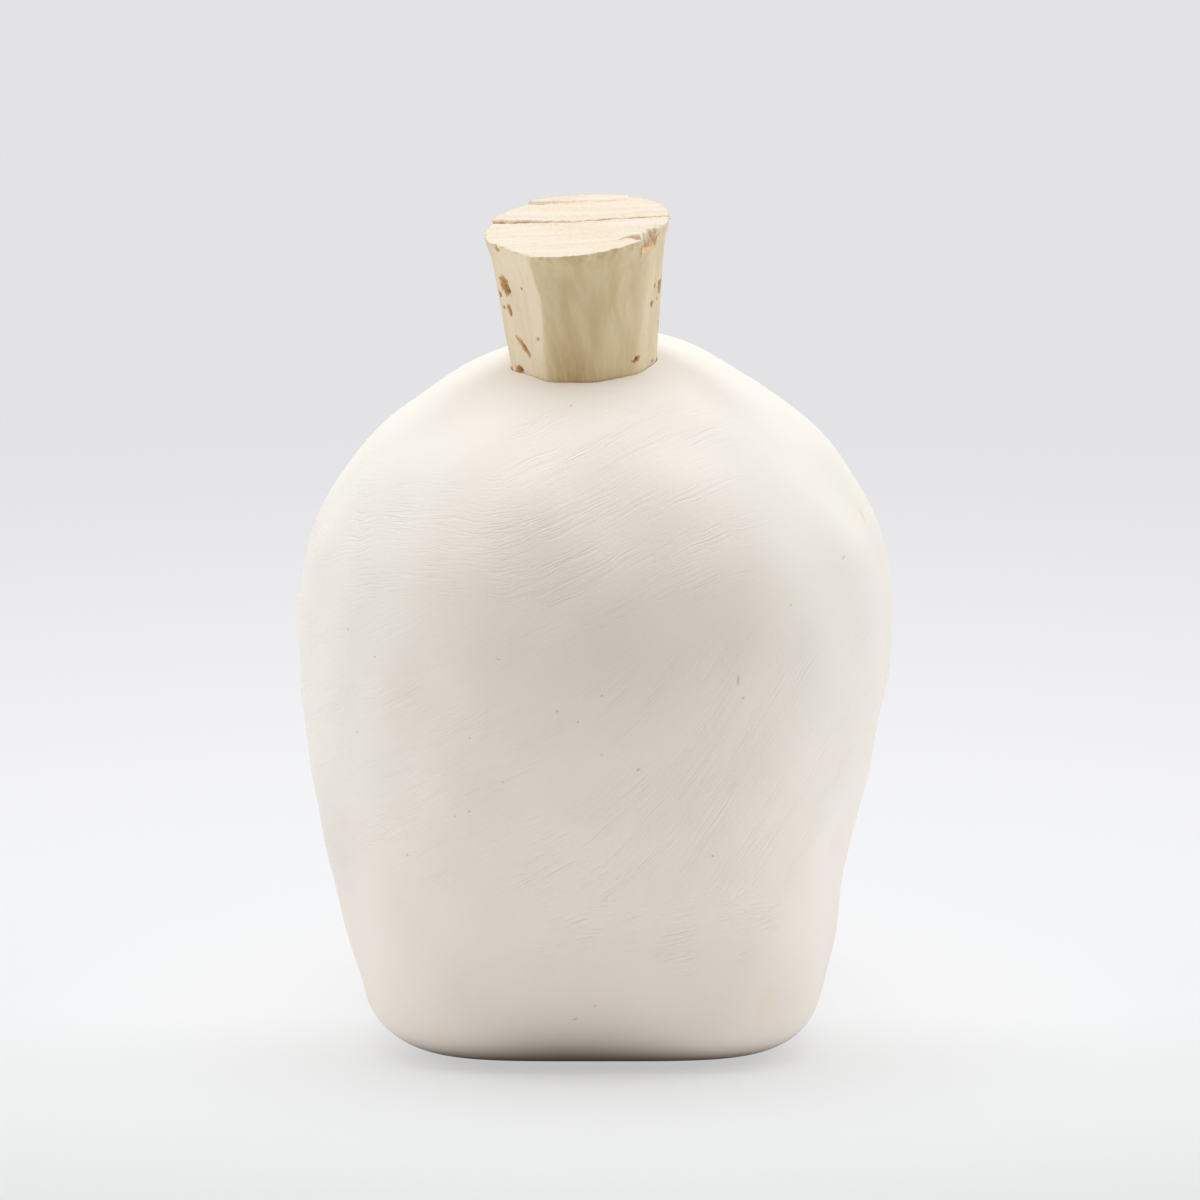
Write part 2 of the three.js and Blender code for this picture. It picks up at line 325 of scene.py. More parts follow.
# Pores on the cork's side: bearing, height, width, length, tilt from upright and depth
PORES = (
    (197.0, 9.2, 2.1, 2.7, 18, 0.7),
    (189.0, 7.9, 0.8, 0.9, 0, 0.5),
    (197.4, 6.2, 0.9, 1.8, 20, 0.5),
    (191.1, 6.4, 0.6, 0.6, 0, 0.2),
    (212.1, 2.0, 0.9, 3.9, 49, 0.32),
    (234.1, 3.6, 0.9, 0.6, 0, 0.15),
    (199.5, -1.3, 2.0, 1.2, 0, 0.5),
    (353.0, 7.9, 2.2, 2.2, 0, 0.55),
    (340.7, 8.4, 0.7, 1.0, 0, 0.15),
    (337.0, 6.3, 1.0, 0.8, 0, 0.5),
    (348.0, 6.5, 0.6, 0.7, 0, 0.12),
    (356.0, 2.8, 0.9, 1.7, 0, 0.2),
    (315.5, 0.2, 0.75, 1.7, -72, 0.6),
    (345.0, -1.2, 1.1, 0.6, 0, 0.3),
    (201.7, 14.0, 1.2, 0.7, 0, 0.2),
    (220.4, 9.5, 0.6, 0.4, 0, 0.1),
)
PORE_STEEPNESS = 1.25
PORE_DARKNESS = 0.4
PORE_SEED = 11

# Pores of the hidden side: how many, the limits of their measures, and their depth, which grows with length
HIDDEN_PORES = 15
HIDDEN_LIMITS = dict(bearing=(5, 180), height=(-8, 15), length=(0.4, 2.4), width=(0.3, 0.8), tilt=(-35, 35))
HIDDEN_DEPTH = (0.2, 0.2)

# Fine unevenness of the cork: the edges of its pores and chip, the grain of its side and top, and its rim
PORE_EDGES = dict(height=0.15, lengths=(0.4, 1.3), waves=18, seed=PORE_SEED)
CHIP_EDGES = dict(height=0.15, lengths=(0.5, 1.6), waves=12, seed=PORE_SEED)
SIDE_GRAIN = dict(height=0.015, lengths=(0.5, 2.2), waves=30, seed=PORE_SEED)
SIDE_GRAIN_STRETCH = (1, 1, 0.35)
TOP_GRAIN = dict(height=0.03, lengths=(0.4, 2.5), waves=30, seed=PORE_SEED + 1)
RIM_RAGGED = dict(height=0.08, lengths=(0.6, 2), waves=20, seed=PORE_SEED + 2)
RIM_REACH = 1.5

# Camera, at the photograph's angle
CAMERA_DISTANCE = 650
CAMERA_ELEVATION = 11
CAMERA_TARGET = (0.3, 0, 52.8)
FRAME_WIDTH = 147.96
SENSOR_WIDTH = 36
NEAREST_SEEN = 10

# Fineness of the meshes, and the heights and rounds of the searches for the mouth's edge and the cork's rim
MOUTH_SEARCH = (-15, 8)
HALVINGS = 45
RIM_ROUNDS = 12
SKULL_COLUMNS = 840
FOOT_ROWS = 14
FOOT_ROUND_ROWS = 40
FLANK_ROWS = 130
CROWN_ROWS = 110
CROWN_STOP = 0.84
MOUTH_ROWS = 44
LIP_ROWS = 7
BORE_ROWS = 18
HOLLOW_ROWS = 24
CORK_COLUMNS = 720
CORK_SIDE_ROWS = 170
CORK_TOP_ROWS = 96
CORK_FOOT_ROWS = 10


# Small helpers
def smooth_step(low, high, value):
    share = np.clip((value - low) / (high - low), 0, 1)
    return share * share * (3 - 2 * share)


def soft_positive(value, softness):
    return (value + np.sqrt(value * value + softness * softness)) / 2


def fade(value, rising, falling):
    return smooth_step(*rising, value) * (1 - smooth_step(*falling, value))


def signed_power(value, power):
    return np.sign(value) * np.abs(value) ** power


def polar(radius, angle, height):
    """Points at a distance from an upright axis along each angle."""
    return np.stack(np.broadcast_arrays(radius * np.cos(angle), radius * np.sin(angle), height), axis=-1)


def turn_between(a, b):
    return (a - b + 540) % 360 - 180


def both_sides(swell):
    return [dict(swell, bearing=FACE_BEARING + side * swell["aside"]) for side in (-1, 1)]


def wave_noise(points, height, lengths, waves, seed):
    """Smooth lumps of about some height: a sum of plane waves with lengths between two limits."""
    random = np.random.default_rng(seed)
    directions = random.normal(size=(waves, 3))
    directions /= np.linalg.norm(directions, axis=1)[:, None]
    drawn = np.exp(random.uniform(math.log(lengths[0]), math.log(lengths[1]), waves))
    phases = random.uniform(0, 2 * math.pi, waves)
    total = np.zeros(points.shape[:-1])
    for direction, length, phase in zip(directions, drawn, phases):
        total += np.sin(points @ direction * (2 * math.pi / length) + phase)
    return height * (total * math.sqrt(2 / waves))


def linear(red, green, blue):
    """A colour as seen, 0 to 255, as the linear colour that a shader takes."""
    shares = (channel / 255 for channel in (red, green, blue))
    return tuple(s / 12.92 if s <= 0.04045 else ((s + 0.055) / 1.055) ** 2.4 for s in shares) + (1,)


# Pale floor and background. Near the object the floor is partly lit, so that it takes the shadow, and further
# off it fades into the background. Its glow there is painted shade in front, darker towards the camera, and
# painted light beside and behind, which thins the shadow. The camera sees the lit floor darker and warmer
# than the floor that gives light back, a painted warm tint of its shadow. The pairs are shares, or stretches
# along Y or away from the object.
FLOOR_REACH = 4.0
FLOOR_COLOUR = linear(246, 246, 247)
FLOOR_LIT_COLOUR = linear(232, 231, 227)
FLOOR_FRONT_SHADE_COLOUR = linear(204, 203, 202)
FLOOR_BACK_COLOUR = linear(233, 233, 233)
FLOOR_FAR_COLOUR = linear(244, 244, 246)
BACKGROUND_COLOUR = linear(227, 227, 229)
FLOOR_BESIDE_LIGHT_COLOUR = linear(250, 250, 251)
FLOOR_GLOW = (0.45, 0.8)
FLOOR_BEHIND = (-0.042, 0.005)
FLOOR_CLEAR = (0.04, 0.08)
FLOOR_NEAR = (-0.1, -0.03)
FLOOR_FADE = (0.07, 0.2)
FLOOR_DEEPEN = (0.06, 0.48)

# Soft light of the room and of three softboxes, with powers in watts
ROOM_LIGHT = 0.24
ROOM_TINT = (1.21, 0.995, 0.8, 1)
SOFTBOX_TINT = (0.9, 1.007, 1.11)
SOFTBOX_TARGET = (0, 0, 0.05)
SOFTBOXES = (
    dict(name="top_softbox", place=(0, 0, 1.0), size=(0.8, 0.8), power=7.9),
    dict(name="left_softbox", place=(-0.5, 0, 0.25), size=(0.5, 0.5), power=1.22),
    dict(name="right_softbox", place=(0.5, 0, 0.25), size=(0.5, 0.5), power=1.23),
)

# Colours of the clay and the cork
# Colours of the clay at the darkest of its painted shade and the palest of its painted light
CLAY_MOST_SHADED = linear(227, 218, 208)
CLAY_MOST_LIT = linear(246, 237, 226)
# Tints of the clay: a painted tint of the light, greener towards its sides and higher up, as under the cool
# softboxes, and rosier in the middle, as in the warm room light, with a random blush
CLAY_ROSY = (1.007, 0.997, 0.986, 1)
CLAY_GREENISH = (0.993, 1.006, 0.994, 1)
PAINTED_TINT_ACROSS = (10 * MM, 31 * MM)
PAINTED_TINT_RISE = (0, 60 * MM)
# Painted shade of the pinholes and scratches
PINHOLE_SHADE_COLOUR = linear(166, 146, 128)
# Colour of the painted shade round the foot and in the teeth lines
PAINTED_SHADE_COLOUR = linear(110, 95, 82)
SPOT_COLOUR = linear(224, 176, 106)
CORK_WEATHERED = (linear(210, 188, 145), linear(222, 203, 163))
CORK_TRIMMED = linear(247, 232, 212)
# Darker colour of the cork's side low down at the back
CORK_LOW_DARK_COLOUR = linear(182, 150, 102)
CORK_END = (linear(232, 213, 188), linear(236, 221, 202))
CORK_CELL_COLOUR = linear(190, 152, 104)
PORE_RIM_COLOUR = linear(206, 160, 104)
PORE_COLOUR = linear(104, 86, 64)

# Textures, with the size of their grains along three axes
CLAY_BLUSH = dict(size=(15, 15, 10), Detail=2.0)
CLAY_GRAIN = dict(size=(0.5, 0.5, 0.4), Detail=3.0, Roughness=0.6)
CORK_BANDS = dict(size=(2.6, 2.6, 15), turn=(0, -8, 0), Detail=2.0, Roughness=0.5, Distortion=0.3)
CORK_STREAKS = dict(size=(0.5, 0.5, 7), turn=(0, -4, 0), Detail=1.0)
CORK_LAYERS = dict(size=(8, 1.0, 8), turn=(0, 0, -9), Detail=2.0)
CORK_CELLS = dict(size=(0.45, 0.45, 0.6), Detail=3.0, Roughness=0.65)
CORK_CELL_DEPTH = 0.04

# Stretches of a texture or layer over which a colour comes in, and its shares there
TEXTURE_RANGE = (0.35, 0.65)
BLUSH_SHARES = (-0.2, 0.2)
STREAK_RANGE = (0.3, 0.65)
STREAK_SHARES = (0.5, 1)
CELL_RANGE = (0.55, 0.8)
CELL_SHARES = (0, 0.14)
PORE_RIM_RANGE = (0.02, 0.3)
PORE_RANGE = (0.4, 0.95)

# Roughness and gloss
CLAY_FINISH = (0.88, 0.25)
CORK_FINISH = (0.82, 0.25)
FLOOR_FINISH = (0.9, 0.1)


# Skin of the skull, or of its hollow when it is set in by the wall
RELIEFS = [SIDE_HOLLOW, SIDE_SWELL]
RELIEFS += [dict(swell, bearing=FACE_BEARING) for swell in (BROW, TEETH_ARCH)]
RELIEFS += both_sides(CHEEKBONE) + both_sides(JAW_HOLLOW) + both_sides(TEMPLE)


def swelling(swells, bearing, level):
    """Sum of soft swells, each round its own bearing and level."""
    total = 0
    for swell in swells:
        across = turn_between(bearing, swell["bearing"]) / swell["spread"]
        along = (level - swell["level"]) / swell["reach"]
        total = total + swell["rise"] * np.exp(-across * across - along * along)
    return total


class Skin:
    """A skin of the clay, set in from the outside by some amount, with its own floor level."""

    def __init__(self, inset, floor):
        self.inset = inset
        self.floor = floor
        self.top = SKULL_HEIGHT - inset

    def reach(self, level, foot_reach, widest_reach, crown):
        power, fullness = crown
        rise = np.clip((level - WIDEST_LEVEL) / (self.top - WIDEST_LEVEL), 0, 1)
        closing = (widest_reach - self.inset) * (1 - rise ** power) ** fullness
        drop = np.clip(1 - level / WIDEST_LEVEL, 0, 1)
        below = np.clip(FOOT_ROUND - (level - self.floor), 0, FOOT_ROUND)
        rounding = FOOT_ROUND - np.sqrt(FOOT_ROUND ** 2 - below ** 2)
        flank = widest_reach - self.inset - (widest_reach - foot_reach) * drop ** FLANK_POWER - rounding
        return np.where(level >= WIDEST_LEVEL, closing, flank)

    def section(self, level):
        side = self.reach(level, FOOT_WIDTH / 2, SKULL_WIDTH / 2, CROWN_SIDE)
        back = self.reach(level, FOOT_BACK_REACH, BACK_REACH, CROWN_BACK)
        face = self.reach(level, FOOT_FACE_REACH, FACE_REACH, CROWN_FACE)
        power = SECTION_POWER + FOOT_SQUARENESS * np.clip(1 - level / WIDEST_LEVEL, 0, 1) ** 2
        return side, back, face, power

    def rings(self, levels, columns):
        """Points round the skin at each level, as rows of columns at even angles."""
        level = np.asarray(levels, float)[:, None]
        even = np.arange(columns)[None, :] * 2 * math.pi / columns
        side, back, face, power = self.section(level)
        turned = np.arctan2(signed_power(np.sin(even), power / 2), signed_power(np.cos(even), power / 2))
        bearing = np.degrees(turned) % 360
        along = np.sin(np.radians(bearing))
        x = side * signed_power(np.cos(np.radians(bearing)), 2 / power)
        y = np.where(along < 0, back, face) * signed_power(along, 2 / power)
        radius = np.maximum(np.hypot(x, y), 1e-9)
        grow = 1 + swelling(RELIEFS, bearing, level) / radius
        return np.stack([x * grow, y * grow, level + 0 * x], axis=-1)

    def crown(self, x, y):
        """Height of the crown over each point of the plan."""
        low = np.full(np.shape(x), float(WIDEST_LEVEL))
        high = np.full(np.shape(x), float(self.top))
        for _ in range(HALVINGS):
            middle = (low + high) / 2
            side, back, face, power = self.section(middle)
            depth = np.maximum(np.where(y < 0, back, face), 1e-9)
            reach = np.abs(x / np.maximum(side, 1e-9)) ** power + np.abs(y / depth) ** power
            low = np.where(reach < 1, middle, low)
            high = np.where(reach < 1, high, middle)
        return low

    def front(self, x, level):
        """Distance of the face from the axis, in front of a point at x and level."""
        side, _, face, power = self.section(level)
        return float(face * (1 - abs(x / side) ** power) ** (1 / power))

    def back(self, x, level):
        """Place along Y of the back, behind a point at x and level."""
        side, back, _, power = self.section(level)
        return float(-back * (1 - abs(x / side) ** power) ** (1 / power))


SKIN = Skin(0, 0)
HOLLOW = Skin(WALL, BASE)


# The mouth's frame: its middle on the crown, +Z out along the leaning cork
def turn(axis, degrees):
    """Matrix of a turn about X, Y or Z."""
    c, s = math.cos(math.radians(degrees)), math.sin(math.radians(degrees))
    return np.roll([[1, 0, 0], [0, c, -s], [0, s, c]], "XYZ".index(axis), axis=(0, 1))


MOUTH_MIDDLE = np.array([*MOUTH_PLAN, float(SKIN.crown(*MOUTH_PLAN))])
MOUTH_TURN = turn("X", LEAN_BACK) @ turn("Y", LEAN_ASIDE)


def from_mouth(points):
    return points @ MOUTH_TURN.T + MOUTH_MIDDLE


def cut_level(x, y):
    """Height of the slanted cut over the cork's top."""
    slant_x = math.tan(math.radians(TOP_SLANT_ASIDE))
    slant_y = math.tan(math.radians(TOP_SLANT_BACK))
    return CORK_EXPOSED - slant_x * x + slant_y * y


def cork_radius(height):
    share = (height - CORK_FOOT) / CORK_LENGTH
    return (CORK_BOTTOM_DIAMETER + (CORK_TOP_DIAMETER - CORK_BOTTOM_DIAMETER) * share) / 2


def flat_distance(angle, bearing, distance):
    """How far a flat lies from the cork's axis along each angle."""
    return distance / np.maximum(np.cos(angle - math.radians(bearing)), FLAT_FACING)


def side_surfaces(angle, height):
    """Distances from the cork's axis to its first knife flat, and to the rest of its side."""
    rim = cut_level(CORK_TOP_DIAMETER / 2 * np.cos(angle), CORK_TOP_DIAMETER / 2 * np.sin(angle))
    radius = cork_radius(height) - CORK_WAIST * smooth_step(0, WAIST_REACH, rim - height)
    below = smooth_step(0, FLAT_REACH, rim - height)
    depth = np.interp(height, *zip(*FIRST_FLAT["depths"]))
    first = flat_distance(angle, FIRST_FLAT["bearing"], radius - depth)
    wave = height * 2 * math.pi / FLAT_SWAY_LENGTH
    sway = smooth_step(*FLAT_SWAY_START, height)
    rest = [radius + 0 * angle]
    for number, flat in enumerate(CORK_FLATS):
        wander = sway * flat["sway"] * np.sin(wave + FLAT_SWAY_SHIFT * number)
        depth = flat["rim"] + (flat["depth"] - flat["rim"]) * below + wander
        rest.append(flat_distance(angle, flat["bearing"], radius - depth))
    least = np.min(rest, axis=0)
    softness = FLAT_SOFTNESS[0] + (FLAT_SOFTNESS[1] - FLAT_SOFTNESS[0]) * below
    return first, least - softness * np.log(np.exp((least - rest) / softness).sum(axis=0))


def side_radius(angle, height):
    """Distance from the cork's axis to its side, with the edge of the first flat worn round low down."""
    first, rest = side_surfaces(angle, height)
    softness = np.interp(height, *zip(*EDGE_SOFTNESS))
    return np.minimum(first, rest) - softness * np.log1p(np.exp(-np.abs(first - rest) / softness))


MOUTH_ANGLES = np.arange(SKULL_COLUMNS) * 2 * math.pi / SKULL_COLUMNS


def seat_ring(height, widen):
    """A ring of the mouth, pressed to the cork's section and wider than its seat by some amount."""
    radius = side_radius(MOUTH_ANGLES, height) + SEAT_GAP + widen
    return from_mouth(polar(radius, MOUTH_ANGLES, height))


def mouth_heights(skin, widen):
    """Heights along the cork's axis at which the widened mouth meets a skin, one for each column."""
    low = np.full(SKULL_COLUMNS, float(MOUTH_SEARCH[0]))
    high = np.full(SKULL_COLUMNS, float(MOUTH_SEARCH[1]))
    for _ in range(HALVINGS):
        middle = (low + high) / 2
        x, y, z = seat_ring(middle, widen).T
        inside = z < skin.crown(x, y)
        low = np.where(inside, middle, low)
        high = np.where(inside, high, middle)
    return low


# Meshes from a sheet of rows that starts and ends at a point
def pole_sheet(name, rows, layers):
    """A closed mesh through rows of points. The first and last rows are drawn together to one point each."""
    count, columns, _ = rows.shape
    body = rows[1:-1].reshape(-1, 3)
    points = np.concatenate([body, rows[0].mean(axis=0)[None], rows[-1].mean(axis=0)[None]])
    index = np.arange((count - 2) * columns).reshape(count - 2, columns)
    following = np.roll(index, -1, axis=1)
    quads = np.stack([index[:-1], following[:-1], following[1:], index[1:]], axis=-1).reshape(-1, 4)
    first, last = len(body), len(body) + 1
    faces = quads.tolist()
    faces += [(first, b, a) for a, b in zip(index[0].tolist(), following[0].tolist())]
    faces += [(last, a, b) for a, b in zip(index[-1].tolist(), following[-1].tolist())]
    mesh = bpy.data.meshes.new(name)
    mesh.from_pydata((points * MM).tolist(), [], faces)
    mesh.shade_smooth()
    for layer, values in layers.items():
        ends = [values[0].mean(), values[-1].mean()]
        flat = np.concatenate([values[1:-1].ravel(), ends]).astype(np.float32)
        mesh.attributes.new(layer, "FLOAT", "POINT").data.foreach_set("value", flat)
    piece = bpy.data.objects.new(name, mesh)
    bpy.context.scene.collection.objects.link(piece)
    return piece


def sheet_normals(rows):
    """Outward normals of a sheet of rows that close round on themselves."""
    along = np.gradient(rows, axis=0)
    across = np.roll(rows, -1, axis=1) - np.roll(rows, 1, axis=1)
    normal = np.cross(across, along)
    return normal / np.maximum(np.linalg.norm(normal, axis=-1, keepdims=True), 1e-12)


# Face, pressed and incised into the clay
def pressed(points, press, side, grow):
    """The push that a hollow of the face gives each point."""
    x = side * press["aside"]
    middle = np.array([x, SKIN.front(x, press["level"]), press["level"]])
    axes = turn("Z", -side * press["yaw"]) @ turn("Y", side * press["lean"])
    local = (points - middle) @ axes
    across = local[..., 0] / (press["width"] / 2 + grow)
    upright = local[..., 2] / (press["height"] / 2 + grow)
    away = np.hypot(across, upright)
    depth = press["depth"] * soft_positive(1 - away ** press["flare"], PRESS_SOFTNESS)
    rim = PRESS_RIM * np.exp(-((away - PRESS_RIM_PLACE) / PRESS_RIM_WIDTH) ** 2)
    in_front = points[..., 1] > 0
    push = np.where(in_front, depth - (rim if grow == 0 else 0), 0)
    return push[..., None] * -axes[:, 1]


def press_face(points, grow):
    moved = points.copy()
    for press in (SOCKET, NOSTRIL):
        for side in (-1, 1):
            moved += pressed(points, press, side, grow)
    return moved


def tooth_lines(points):
    """Depth of the incised bite line and of the lines between the teeth."""
    x, y, z = np.moveaxis(points, -1, 0)
    in_front = y > 0
    bite = BITE_DEPTH * np.exp(-((z - BITE_LEVEL - BITE_CURVE * x * x) / LINE_HALF_WIDTH) ** 2)
    bite = bite * (1 - smooth_step(*BITE_END, np.abs(x)))
    nearest = np.floor(x / TOOTH_WIDTH) + 0.5
    beside = x - nearest * TOOTH_WIDTH
    counted = np.abs(nearest) < TOOTH_GROOVES / 2
    band = fade(z, TOOTH_LOW, TOOTH_HIGH) * counted
    upright = TOOTH_DEPTH * np.exp(-(beside / LINE_HALF_WIDTH) ** 2) * band
    return np.where(in_front, np.maximum(bite, upright), 0)


# The fired clay shell, as one sheet from the foot over the crown and down into the hollow
def outside_rows():
    foot_edge = SKIN.rings([0], SKULL_COLUMNS)[0]
    shares = np.linspace(0, 1, FOOT_ROWS, endpoint=False)
    foot = foot_edge[None] * np.stack([shares, shares, shares * 0], axis=-1)[:, None]
    quarter = np.linspace(0, math.pi / 2, FOOT_ROUND_ROWS, endpoint=False)
    flank = np.linspace(FOOT_ROUND, WIDEST_LEVEL, FLANK_ROWS, endpoint=False)
    climb = np.linspace(0, math.asin(CROWN_STOP), CROWN_ROWS)
    crown = WIDEST_LEVEL + (SKULL_HEIGHT - WIDEST_LEVEL) * np.sin(climb)
    levels = np.concatenate([FOOT_ROUND * (1 - np.cos(quarter)), flank, crown])
    return np.concatenate([foot, SKIN.rings(levels, SKULL_COLUMNS)])


def crown_rows(skin, outer, inner, count):
    """Rows over the crown between two rings, each point at the crown's height over its plan."""
    shares = np.linspace(0, 1, count + 1, endpoint=False)[1:, None, None]
    plan = outer[None, :, :2] * (1 - shares) + inner[None, :, :2] * shares
    height = skin.crown(plan[..., 0], plan[..., 1])
    return np.concatenate([plan, height[..., None]], axis=-1)


def lip_rows():
    """The mouth's rounded edge, from the crown into the bore."""
    meet = mouth_heights(SKIN, MOUTH_LIP)
    rows = []
    for angle in np.linspace(0, math.pi / 2, LIP_ROWS):
        height = meet - MOUTH_LIP * (1 - math.cos(angle))
        rows.append(seat_ring(height, MOUTH_LIP * (1 - math.sin(angle))))
    return np.array(rows), meet - MOUTH_LIP


def bore_rows(start):
    end = mouth_heights(HOLLOW, 0)
    shares = np.linspace(0, 1, BORE_ROWS + 1)[1:]
    return np.array([seat_ring(start * (1 - share) + end * share, 0) for share in shares])


def hollow_rows(mouth_ring):
    stop = WIDEST_LEVEL + (HOLLOW.top - WIDEST_LEVEL) * CROWN_STOP
    climb = np.linspace(math.asin(CROWN_STOP), 0, HOLLOW_ROWS)
    crown = WIDEST_LEVEL + (HOLLOW.top - WIDEST_LEVEL) * np.sin(climb)
    flank = np.linspace(WIDEST_LEVEL, BASE + FOOT_ROUND, HOLLOW_ROWS, endpoint=False)[1:]
    quarter = np.linspace(math.pi / 2, 0, FOOT_ROWS)
    levels = np.concatenate([crown, flank, BASE + FOOT_ROUND * (1 - np.cos(quarter))])
    ceiling = crown_rows(HOLLOW, mouth_ring, HOLLOW.rings([stop], SKULL_COLUMNS)[0], HOLLOW_ROWS)
    walls = HOLLOW.rings(levels, SKULL_COLUMNS)
    shares = np.linspace(1, 0, FOOT_ROWS)[1:]
    floor = np.array([walls[-1] * [share, share, 1] for share in shares])
    return press_face(np.concatenate([ceiling, walls, floor]), WALL)


def shape_outside(rows):
    """The modelled and pressed clay: face, incised teeth and hand-made lumps."""
    pushed = press_face(rows, 0)
    height = rows[..., 2]
    beside_mouth = np.hypot(rows[..., 0] - MOUTH_PLAN[0], rows[..., 1] - MOUTH_PLAN[1])
    clear_of_mouth = np.where(height < WIDEST_LEVEL, 1, smooth_step(*LUMP_FROM_MOUTH, beside_mouth))
    lumps = wave_noise(rows, **LUMPS) * smooth_step(*LUMP_FROM_FOOT, height) * clear_of_mouth
    return pushed + sheet_normals(rows) * (lumps - tooth_lines(rows))[..., None]


def stroke_layers(rows):
    """For each field of strokes, the place of every point across them and how strong they are there."""
    x, y, level = np.moveaxis(rows, -1, 0)
    grid = np.linspace(*STROKE_GRID)
    layers = {}
    for number, field in enumerate(STROKE_FIELDS):
        slope = np.tan(np.radians(np.interp(grid, *zip(*field["rise"]))))
        across = level + STROKE_DIP * y - np.interp(x, grid, np.cumsum(slope) * (grid[1] - grid[0]))
        stretch = STROKE_PATCH[0] / field["length"]
        place = np.stack([x * stretch, y * stretch, across], axis=-1)
        patches = wave_noise(place, 1, STROKE_PATCH, STROKE_WAVES, STROKE_SEED + number)
        share = field["strength"] * (STROKE_LEAST + (1 - STROKE_LEAST) * smooth_step(-1, 1, patches))
        share = share * fade(x, *field["aside"]) * fade(level + STROKE_WANDER * patches, *field["levels"])
        wobble = wave_noise(rows, STROKE_WOBBLE, WOBBLE_LENGTHS, STROKE_WAVES, STROKE_SEED - number)
        layers[field["name"] + "_across"] = (across + wobble) / STROKE_PITCH
        layers[field["name"] + "_share"] = share
    return layers


def clay_layers(rows):
    """How pale its painted shade and light make the clay, from 0 to 1, its painted shade at the foot and in
    the teeth lines, and how it is brushed.
    """
    bearing = np.degrees(np.arctan2(rows[..., 1], rows[..., 0]))
    level = np.maximum(rows[..., 2], 0)
    # Painted shade and light of the patches, from 0 at the darkest to 1 at the palest
    low, high = PAINTED_SHADING_RANGE
    pale = (1 + swelling(PAINTED_SHADING, bearing, level) - low) / (high - low)
    # Painted shade round the foot, fading out under it, and in the teeth lines
    behind = np.exp(-(turn_between(bearing, FOOT_SHADE_BACK["bearing"]) / FOOT_SHADE_BACK["spread"]) ** 2)
    painted_shade = np.exp(-(level / (FOOT_SHADE_HEIGHT + FOOT_SHADE_BACK["height"] * behind)) ** FOOT_SHADE_FADE)
    painted_shade[:FOOT_ROWS] *= np.linspace(0, 1, FOOT_ROWS)[:, None] ** FOOT_SHADE_UNDERNEATH
    painted_shade = np.maximum(painted_shade, TOOTH_LINE_SHADE * tooth_lines(rows) / TOOTH_DEPTH)
    return {"pale": np.clip(pale, 0, 1), "painted_shade": painted_shade, **stroke_layers(rows)}


def skull_shell():
    outside = outside_rows()
    lip, bore_start = lip_rows()
    over = crown_rows(SKIN, outside[-1], lip[0], MOUTH_ROWS)
    shaped = shape_outside(np.concatenate([outside, over]))
    bore = bore_rows(bore_start)
    rows = np.concatenate([shaped, lip, bore, hollow_rows(bore[-1])])
    return pole_sheet("clay_skull", rows, clay_layers(rows))


# The cork, in the mouth's frame
def paleness(angle, height):
    """How pale the knife left each place of the side."""
    first, rest = side_surfaces(angle, height)
    share = 1 / (1 + np.exp(np.clip((first - rest) / EDGE_BLEND, -40, 40)))
    side = np.interp(np.degrees(angle), *zip(*SIDE_PALENESS))
    return share * FIRST_FLAT_PALENESS + (1 - share) * side


def low_darkening_share(angle, height):
    around = turn_between(np.degrees(angle), CORK_LOW_DARKENING["bearing"]) / CORK_LOW_DARKENING["spread"]
    low = 1 - smooth_step(CORK_LOW_DARKENING["low"], CORK_LOW_DARKENING["high"], height)
    return CORK_LOW_DARKENING["strength"] * low * np.exp(-around * around)


def behind_path(x, y, path):
    """Distance in front of (below 0) or behind (above 0) a wobbly line across the top."""
    wobble = sum(share * np.sin(pace * x + shift) for share, pace, shift in CRACK_WAVES)
    return y - np.interp(x, *zip(*path)) - CRACK_WOBBLE * wobble


def between(value, low, high, softness):
    return fade(value, (low - softness, low + softness), (high - softness, high + softness))


def chip_depth(x, y):
    """Depth of the chip, with ragged walls."""
    angle = math.radians(CHIP["bearing"])
    rim = side_radius(angle, CORK_EXPOSED)
    ragged = wave_noise(np.stack([x, y, 0 * x], axis=-1), **CHIP_EDGES)
    inward = rim - x * math.cos(angle) - y * math.sin(angle) + ragged
    aside = y * math.cos(angle) - x * math.sin(angle) + ragged
    walls = fade(aside, CHIP["left"], CHIP["right"]) * (1 - smooth_step(*CHIP["inner"], inward))
    return CHIP["depth"] * walls


def split_share(x, y):
    """1 in the split that runs into the chip, and less towards its edges."""
    (start, _), *_, (end, _) = CHIP_SPLIT["far"]
    near = np.interp(x, *zip(*CHIP_SPLIT["near"]))
    far = np.interp(x, *zip(*CHIP_SPLIT["far"]))
    return between(y, near, far, CHIP_SPLIT["softness"]) * between(x, start, end, SPAN_SOFTNESS)


def top_height(x, y):
    """Height of the cork's top: the slanted cut, stepped and split by cracks and broken at the rim."""
    height = cut_level(x, y)
    for crack in TOP_CRACKS:
        gap = behind_path(x, y, crack["path"])
        step = np.interp(x, *zip(*crack["step"])) * smooth_step(*CRACK_STEP, gap)
        trench = crack["depth"] * np.exp(-(gap / crack["width"]) ** 4)
        height = height + between(x, *crack["span"], SPAN_SOFTNESS) * (step - trench)
    return height - np.maximum(CHIP_SPLIT["depth"] * split_share(x, y), chip_depth(x, y))


